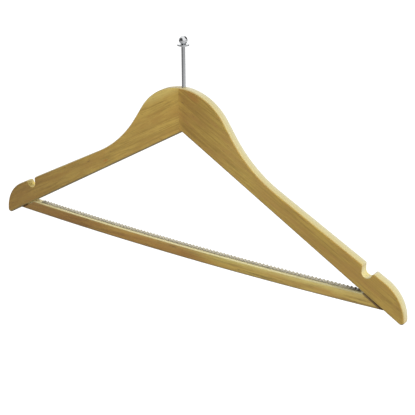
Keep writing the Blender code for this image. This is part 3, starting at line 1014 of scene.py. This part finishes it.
def make_arm(side, material):
    arm = prism(sided(side, "arm_board"), frame_outline(), BOARD, APEX_Z)
    round_rims(arm, BOARD_EDGE)
    drop = math.tan(UNDERSIDE) * HALF_SPAN
    comb = prism("comb", comb_outline(side), NECK_HEIGHT + drop + 2 * MARGIN,
                 APEX_Z + (NECK_HEIGHT - drop) / 2, upright=False)
    notch = flared_cutter("notch", notch_outline(side), NOTCH_FLARE)
    bore = round_cutter("bore", BORE_RADIUS, -BORE_REACH, BORE_REACH)
    recess = round_cutter("recess", RECESS_RADIUS, -RECESS_MARGIN, RECESS_HEIGHT)
    top = SCREW_LENGTH + FIT_GAP
    profile = [(0.0, top), (HOLE_POINT_RADIUS, top), (HOLE_RADIUS, top - SCREW_POINT),
               (HOLE_RADIUS, -HOLE_MARGIN), (0.0, -HOLE_MARGIN)]
    hole = turned("hole", profile, centre=screw_foot(side))
    cut(arm, [comb, notch, bore, recess, hole], WOOD_SHARP)
    dress(arm, "hanger_frame", material, sided(side, "arm"))


def make_bar(material):
    bar = prism("trouser_bar_wood", bar_outline(), BOARD, APEX_Z)
    round_rims(bar, BAR_EDGE)
    strip_low, strip_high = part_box("grip_strip")
    band = band_outline(strip_low.x - FIT_GAP, strip_high.x + FIT_GAP, -GROOVE_DEPTH, MARGIN)
    groove = prism("groove", band, GROOVE_WIDTH, APEX_Z)
    profile = [(0.0, SCREW_LENGTH), (HOLE_RADIUS, SCREW_LENGTH), (HOLE_RADIUS, SINK_DEPTH),
               (SINK_RADIUS, 0.0), (SINK_RADIUS, -SINK_MARGIN), (0.0, -SINK_MARGIN)]
    holes = [turned("hole", profile, centre=screw_foot(side)) for side in (-1, 1)]
    cut(bar, [groove, *holes], WOOD_SHARP)
    dress(bar, "hanger_frame", material, "trouser_bar")


def make_grip(material):
    low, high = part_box("grip_strip")
    grip = prism("ribbed_grip", grip_outline(low.x, high.x), GRIP_WIDTH, APEX_Z)
    band = band_outline(low.x + STEM_INSET, high.x - STEM_INSET, -STEM_DEPTH,
                        FIT_GAP + GRIP_BASE / 2)
    stem = prism("stem", band, STEM_WIDTH, APEX_Z)
    boolean(grip, stem, "UNION")
    settle(grip, GRIP_SHARP)
    discard(stem)
    dress(grip, "hanger_frame", material, "grip_strip")


def make_pin(material):
    """Ball head, shank and riveted foot."""
    low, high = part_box("security_pin")
    ball = (high.x - low.x) / 2
    centre = high.z - ball
    last = math.pi - math.asin(BALL_SEAT_RADIUS / ball)
    rivet_top = APEX_Z + RECESS_HEIGHT - 2 * FIT_GAP - WASHER_THICKNESS
    profile = [(0.0, high.z)]
    profile += [(ball * math.sin(angle), centre + ball * math.cos(angle))
                for angle in between(0.0, last, BALL_RINGS)[1:]]
    profile += [(PIN_RADIUS, BALL_SEAT_Z), (PIN_RADIUS, rivet_top)]
    profile += [(radius, rivet_top - depth) for radius, depth in RIVET]
    pin = turned("ball_pin", profile)
    settle(pin, METAL_SHARP)
    dress(pin, "pin", material, "security_pin")


def make_collar(material):
    """Flat disc with rounded outer rims, open for the pin."""
    low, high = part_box("pin_collar")
    rim = high.x - COLLAR_EDGE
    angles = between(0.0, math.pi / 2, EDGE_STEPS)
    profile = [(BORE_RADIUS, high.z)]
    profile += [(rim + COLLAR_EDGE * math.sin(angle),
                 high.z - COLLAR_EDGE + COLLAR_EDGE * math.cos(angle)) for angle in angles]
    profile += [(rim + COLLAR_EDGE * math.cos(angle),
                 low.z + COLLAR_EDGE - COLLAR_EDGE * math.sin(angle)) for angle in angles]
    profile += [(BORE_RADIUS, low.z)]
    collar = turned("round_collar", profile, closed=True)
    settle(collar, METAL_SHARP)
    dress(collar, "pin", material, "pin_collar")


def make_screw(side, material):
    """Countersunk screw with a cross recess."""
    node_name = sided(side, "bar_screw")
    centre = screw_foot(side)
    profile = [
        (0.0, SCREW_LENGTH),
        (SCREW_POINT_RADIUS, SCREW_LENGTH),
        (SCREW_RADIUS, SCREW_LENGTH - SCREW_POINT),
        (SCREW_RADIUS, SCREW_CONE),
        (SCREW_HEAD_RADIUS, SCREW_HEAD_RIM),
        (SCREW_HEAD_RADIUS, 0.0),
        (0.0, 0.0),
    ]
    screw = turned(node_name + "_steel", profile, centre=centre)
    outline = [(-CROSS_REACH, -HOLE_MARGIN), (CROSS_REACH, -HOLE_MARGIN), (CROSS_REACH, 0.0),
               (CROSS_FOOT, CROSS_DEPTH), (-CROSS_FOOT, CROSS_DEPTH), (-CROSS_REACH, 0.0)]
    blades = []
    for turn in (CROSS_TURN, CROSS_TURN + math.pi / 2):
        blade = prism("blade", outline, CROSS_WIDTH, 0.0)
        blade.data.transform(Matrix.Rotation(turn, 4, "Z"))
        blade.data.transform(Matrix.Translation(centre))
        blades.append(blade)
    cut(screw, blades, METAL_SHARP)
    dress(screw, "hanger_frame", material, node_name)


# Studio

def area_light(name, place, target, size, power):
    """Soft lamp that lights the hanger without showing in its reflections."""
    light = bpy.data.lights.new(name, "AREA")
    light.shape = "RECTANGLE"
    light.size, light.size_y = size
    light.energy = power
    obj = bpy.data.objects.new(name, light)
    obj.location = place
    direction = Vector(target) - Vector(place)
    obj.rotation_euler = direction.to_track_quat("-Z", "Y").to_euler()
    obj.visible_glossy = False
    bpy.context.scene.collection.objects.link(obj)


def ray_kinds(tree):
    """1 for what the camera sees straight or through clear parts, and 1 for reflections."""
    path = node(tree, "ShaderNodeLightPath").outputs
    seen = maths(tree, "MAXIMUM", path["Is Camera Ray"], path["Is Transmission Ray"])
    return seen, path["Is Glossy Ray"]


def level_along(tree, output, direction, span, start, end):
    """Level that goes from start to end over a span of distances, or cosines, along a
    direction."""
    along = vector_maths(tree, "DOT_PRODUCT", coordinates(tree, output),
                         Vector(direction).normalized())
    return remap(tree, along, *span, start, end)


def make_floor():
    """Pale floor, brought up to white for the camera, that reflections see as a dark floor
    with one brighter side."""
    bpy.ops.mesh.primitive_plane_add(size=FLOOR_SIZE, location=(0, 0, FLOOR_Z))
    floor = bpy.context.active_object
    floor.name = "studio_floor"
    material, tree, shader = new_material("white_sweep")
    set_inputs(shader, {"Base Color": (FLOOR_GREY, FLOOR_GREY, FLOOR_GREY, 1.0),
                        "Roughness": 0.9, "Specular IOR Level": 0.0,
                        "Emission Color": (1.0, 1.0, 1.0, 1.0)})
    seen, glossy = ray_kinds(tree)
    reach = vector_maths(tree, "LENGTH", coordinates(tree))
    direct = product(tree, seen, remap(tree, reach, *FLOOR_GLOW_REACH, FLOOR_GLOW, 1.0))
    shine = level_along(tree, "Object", FLOOR_BRIGHT_SIDE, FLOOR_BRIGHT_REACH, 0.0, FLOOR_SHINE)
    strength = maths(tree, "ADD", direct, product(tree, glossy, shine))
    link(tree, strength, shader.inputs["Emission Strength"])
    floor.data.materials.append(material)


def make_world():
    """White to the camera and a softer level as light. Reflections see a room a little
    brighter than white, in place of the lamps, with a dark doorway on the front left and a
    dark screen behind the hanger."""
    world = bpy.data.worlds.new("studio")
    bpy.context.scene.world = world
    world.use_nodes = True
    tree = world.node_tree
    tree.nodes.clear()
    out = node(tree, "ShaderNodeOutputWorld")
    background = node(tree, "ShaderNodeBackground")
    background.inputs["Color"].default_value = (1.0, 1.0, 1.0, 1.0)
    seen, glossy = ray_kinds(tree)
    doorway = level_along(tree, "Generated", DOORWAY_SIDE, DOORWAY_EDGE, ROOM_LEVEL, DOORWAY_LEVEL)
    screen = level_along(tree, "Generated", SCREEN_SIDE, SCREEN_EDGE, 1.0, SCREEN_LEVEL)
    mirrored = node(tree, "ShaderNodeMix")
    link(tree, glossy, mirrored.inputs["Factor"])
    link(tree, remap(tree, seen, 0.0, 1.0, WORLD_LIGHT, 1.0), mirrored.inputs["A"])
    link(tree, product(tree, doorway, screen), mirrored.inputs["B"])
    link(tree, mirrored.outputs["Result"], background.inputs["Strength"])
    link(tree, background.outputs[0], out.inputs["Surface"])


def make_camera():
    """Camera of the photo, which looks back at its target from CAMERA_DISTANCE."""
    target = Vector(CAMERA_TARGET)
    level = math.cos(CAMERA_ELEVATION)
    back = Vector((math.sin(CAMERA_AZIMUTH) * level, -math.cos(CAMERA_AZIMUTH) * level,
                   math.sin(CAMERA_ELEVATION)))
    right = (-back).cross(Vector((0, 0, 1))).normalized()
    up = right.cross(-back)
    rolled_right = right * math.cos(CAMERA_ROLL) + up * math.sin(CAMERA_ROLL)
    rolled_up = -right * math.sin(CAMERA_ROLL) + up * math.cos(CAMERA_ROLL)
    data = bpy.data.cameras.new("photo_camera")
    data.sensor_width = SENSOR_WIDTH
    data.lens = SENSOR_WIDTH * FOCAL_PIXELS / PHOTO_WIDTH
    data.clip_start, data.clip_end = 0.05, 50.0
    camera = bpy.data.objects.new("photo_camera", data)
    pose = Matrix((rolled_right, rolled_up, back)).transposed().to_4x4()
    camera.matrix_world = Matrix.Translation(target + back * CAMERA_DISTANCE) @ pose
    bpy.context.scene.collection.objects.link(camera)
    bpy.context.scene.camera = camera


chrome = plated_metal("polished_chrome", CHROME_GREY, CHROME_ROUGHNESS)
zinc = plated_metal("zinc_plate", ZINC_GREY, ZINC_ROUGHNESS)
make_arm(-1, arm_lacquer("left_arm_lacquer", GRAIN_TURN, 1.0, LEFT_WOOD, dome_highlight=True))
make_arm(1, arm_lacquer("right_arm_lacquer", -GRAIN_TURN, 4.0, RIGHT_WOOD))
make_bar(bar_lacquer("bar_lacquer", 7.0, BAR_WOOD))
make_grip(clear_vinyl("ribbed_vinyl"))
make_pin(chrome)
make_collar(chrome)
make_screw(-1, zinc)
make_screw(1, zinc)
nodes["retaining_washer"].data.materials.clear()
nodes["retaining_washer"].data.materials.append(zinc)

make_floor()
make_world()
area_light("key", place=(1.25, 0.45, 0.85), target=(0.05, 0, -0.12), size=(1.1, 1.0), power=44.0)
area_light("front_fill", place=(-0.3, -1.6, 0.45), target=(0, 0, -0.12), size=(1.2, 1.0), power=16.0)
make_camera()
bpy.context.scene.view_settings.view_transform = "Standard"
